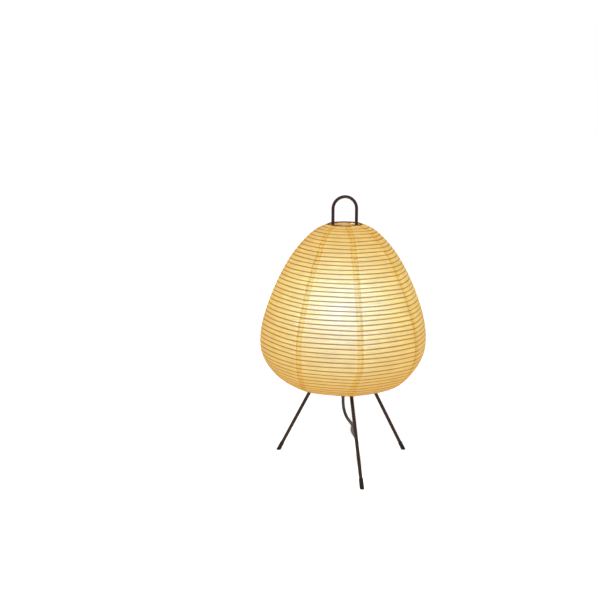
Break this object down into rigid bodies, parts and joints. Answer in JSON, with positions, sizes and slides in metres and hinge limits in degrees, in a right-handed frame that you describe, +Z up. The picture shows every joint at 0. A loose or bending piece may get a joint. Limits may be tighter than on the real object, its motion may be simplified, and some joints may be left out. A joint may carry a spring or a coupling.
{
  "type": "paper table lamp",
  "caption": "Bulging paper-shade table lamp on a bent wire frame with splayed legs, a carrying loop and a trailing lead with switch and plug.",
  "frame": {"origin": "on the floor under the axis of the shade", "axes": "+Z up along the shade axis; +X and -X through the two sides of the carrying loop; the front leg stands near -Y and the lead runs off towards +Y"},
  "size_m": [0.26, 0.5715, 0.4207],
  "materials": {
    "bamboo": "split bamboo, dry",
    "blade_metal": "nickel plated",
    "cap_aluminium": "pressed",
    "cap_glass": "black vitrite",
    "clear_glass": "clear",
    "contact_brass": "plain",
    "cord_sheath": "satin sheath",
    "core_insulation": "extruded",
    "filament": "drawn tungsten",
    "holder_plastic": "moulded phenolic",
    "liner_board": "pressed board",
    "opal_glass": "opal",
    "painted_plate": "dark brown-black satin paint",
    "painted_wire": "dark brown-black satin paint",
    "plug_plastic": "moulded",
    "porcelain": "glazed",
    "relief_plastic": "matt moulded",
    "ring_wire": "dark paint",
    "rocker_plastic": "moulded",
    "solder": "soldered",
    "switch_plastic": "fine moulded grain",
    "tie_band": "soft band",
    "tip_rubber": "matt",
    "washi_paper": "thin handmade paper, lit from inside",
    "zinc_steel": "zinc plated"
  },
  "bodies": {
    "root": {"carrying_loop": "painted_wire", "cord_coil": "cord_sheath", "cord_lead": "cord_sheath", "cord_plug_tail": "cord_sheath", "cord_tail": "cord_sheath", "cord_tie": "tie_band", "foot_tip_front": "tip_rubber", "foot_tip_left": "tip_rubber", "foot_tip_right": "tip_rubber", "harp_wire_left": "painted_wire", "harp_wire_right": "painted_wire", "holder_cap": "holder_plastic", "holder_centre_contact": "contact_brass", "holder_insert": "porcelain", "holder_liner": "liner_board", "holder_screw_shell": "contact_brass", "holder_shell": "holder_plastic", "holder_terminal_screws": "contact_brass", "holder_washer": "zinc_steel", "hub_lock_nut": "zinc_steel", "hub_plate": "painted_plate", "inner_cable": "cord_sheath", "leg_front": "painted_wire", "leg_left": "painted_wire", "leg_right": "painted_wire", "plug_blades": "blade_metal", "plug_body": "plug_plastic", "strain_relief": "relief_plastic", "supply_wires": "core_insulation", "switch_contacts": "contact_brass", "switch_lower_shell": "switch_plastic", "switch_pin": "zinc_steel", "switch_screws": "zinc_steel", "switch_spring": "contact_brass", "switch_upper_shell": "switch_plastic", "threaded_nipple": "zinc_steel"},
    "shade": {"bamboo_rib_1": "bamboo", "bamboo_rib_2": "bamboo", "bamboo_rib_3": "bamboo", "bamboo_rib_4": "bamboo", "bottom_ring": "ring_wire", "paper_gore_1": "washi_paper", "paper_gore_2": "washi_paper", "paper_gore_3": "washi_paper", "paper_gore_4": "washi_paper", "paper_gore_5": "washi_paper", "paper_gore_6": "washi_paper", "paper_gore_7": "washi_paper", "paper_gore_8": "washi_paper", "top_ring": "ring_wire"},
    "bulb_base": {"bulb_tip_contact": "solder", "bulb_insulator": "cap_glass"},
    "bulb_glass": {"bulb_envelope": "opal_glass", "bulb_screw_shell": "cap_aluminium", "bulb_stem": "clear_glass", "bulb_filament": "filament"},
    "rocker": {"switch_rocker": "rocker_plastic"}
  },
  "joints": [
    {"name": "shade_lift", "type": "slide", "parent": "root", "child": "shade", "axis": [0, 0, 1], "range_m": [0, 0.31]},
    {"name": "bulb_rise", "type": "slide", "parent": "root", "child": "bulb_base", "axis": [0, 0, 1], "range_m": [0, 0.0182]},
    {"name": "bulb_turn", "type": "hinge", "parent": "bulb_base", "child": "bulb_glass", "pos_m": [0, 0, 0.17], "axis": [0, 0, 1], "range_deg": [0, 1800]},
    {"name": "rocker_tip", "type": "hinge", "parent": "root", "child": "rocker", "pos_m": [0.0881, 0.3669, 0.0086], "axis": [0.9816, -0.1908, 0], "range_deg": [0, 18]}
  ],
  "couplings": [
    {"joint": "bulb_rise", "follows": "bulb_turn", "m_per_rad": 0.00057773}
  ]
}
